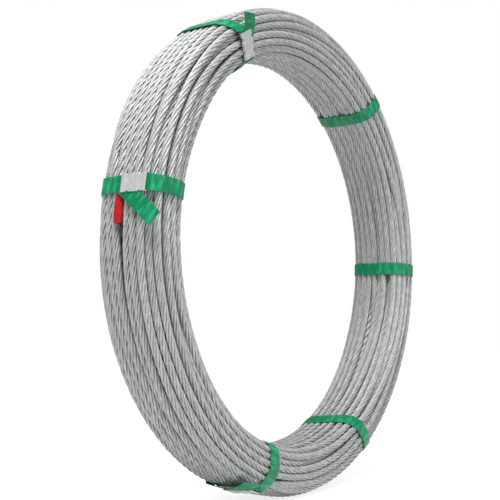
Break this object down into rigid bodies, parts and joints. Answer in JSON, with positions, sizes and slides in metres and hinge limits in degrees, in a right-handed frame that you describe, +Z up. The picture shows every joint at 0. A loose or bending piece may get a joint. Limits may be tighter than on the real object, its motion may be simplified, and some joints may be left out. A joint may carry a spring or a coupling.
{
  "type": "coil of galvanized steel strand",
  "caption": "Round coil of seven-wire galvanized steel strand, tied with flat plastic straps and crimped steel seals, standing on its rim.",
  "frame": {"origin": "middle of the underside of the whole coil as it stands on its rim", "axes": "+Z up, Y along the coil's bore, X across the coil; the cut end, three folded strap ends and three seals are on the -X -Y side"},
  "size_m": [0.562, 0.094, 0.556],
  "materials": {
    "galvanized_strand": "matt hot-dip galvanized wire",
    "red_plastic": "glossy red cap",
    "green_strap": "embossed green polyester strapping",
    "seal_steel": "bright sheet steel"
  },
  "bodies": {
    "root": {"strand_coil": "galvanized_strand", "strand_end_cap": "red_plastic", "strap_1": "green_strap", "strap_2": "green_strap", "strap_3": "green_strap", "strap_4": "green_strap", "strap_5": "green_strap", "strap_6": "green_strap", "seal_1": "seal_steel", "seal_2": "seal_steel", "seal_3": "seal_steel", "seal_4": "seal_steel", "seal_5": "seal_steel", "seal_6": "seal_steel"}
  },
  "joints": []
}
